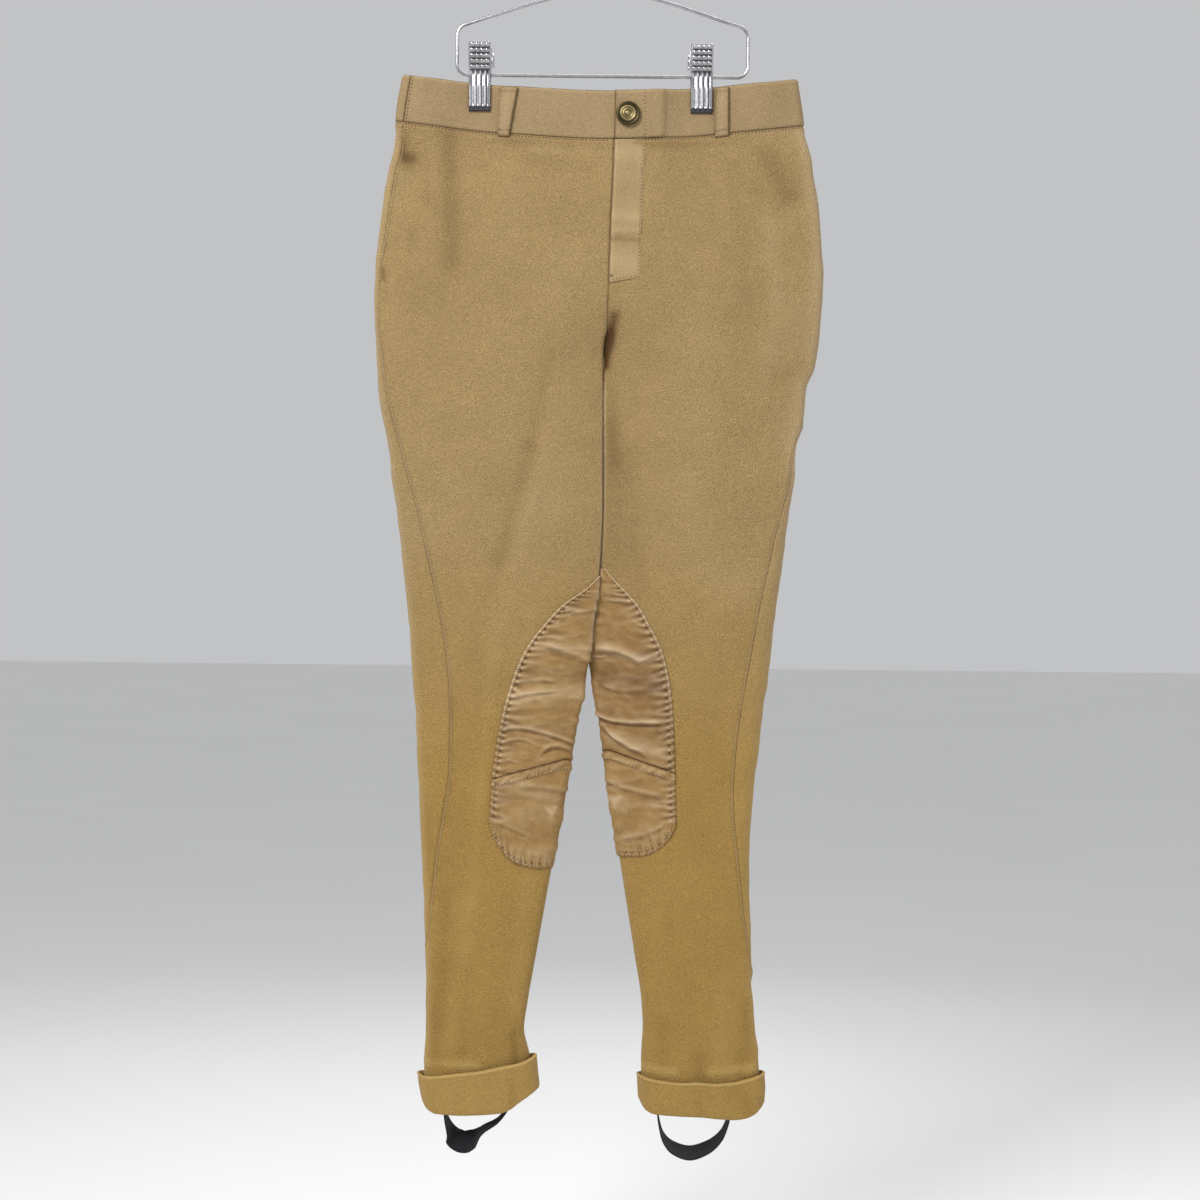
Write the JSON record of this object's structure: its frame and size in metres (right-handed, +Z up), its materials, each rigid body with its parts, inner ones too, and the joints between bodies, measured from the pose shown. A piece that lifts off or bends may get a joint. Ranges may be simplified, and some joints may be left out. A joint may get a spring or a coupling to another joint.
{
  "type": "riding breeches on a wire clip hanger",
  "caption": "Full-length tan riding breeches with knee patches, turn-ups and black foot straps, hanging flat from a chrome wire clip hanger.",
  "frame": {"origin": "inside top of the hanger's hook, where it rests on a rail", "axes": "+Z up, from the hem towards the hook; the front of the garment faces -Y; +X is the wearer's left"},
  "size_m": [0.3854, 0.0487, 1.1014],
  "materials": {
    "knit": "brushed stretch knit",
    "band": "brushed stretch knit, stitched flat",
    "patch": "smooth brushed cotton",
    "elastic": "woven elastic",
    "button": "antique, satin",
    "wire": "polished",
    "clip_metal": "bright, pressed sheet",
    "spring_steel": "bright drawn",
    "grip": "matte"
  },
  "bodies": {
    "root": {"front_right": "knit", "back_right": "knit", "front_left": "knit", "back_left": "knit", "waistband_front_right": "band", "waistband_front_left": "band", "waistband_back": "band", "fly_placket": "knit", "belt_loop_right": "band", "belt_loop_left": "band", "belt_loop_back": "band", "waist_button": "button", "knee_patch_upper_right": "patch", "knee_patch_lower_right": "patch", "knee_patch_upper_left": "patch", "knee_patch_lower_left": "patch", "cuff_right": "knit", "cuff_left": "knit", "foot_strap_right": "elastic", "foot_strap_left": "elastic", "hanger_frame": "wire", "hanger_hook": "wire", "clip_jaw_front_right": "clip_metal", "clip_jaw_back_right": "clip_metal", "clip_jaw_front_left": "clip_metal", "clip_jaw_back_left": "clip_metal", "clip_sleeve_right": "clip_metal", "clip_sleeve_left": "clip_metal", "clip_spring_right": "spring_steel", "clip_spring_left": "spring_steel", "clip_pad_front_right": "grip", "clip_pad_back_right": "grip", "clip_pad_front_left": "grip", "clip_pad_back_left": "grip"}
  },
  "joints": []
}
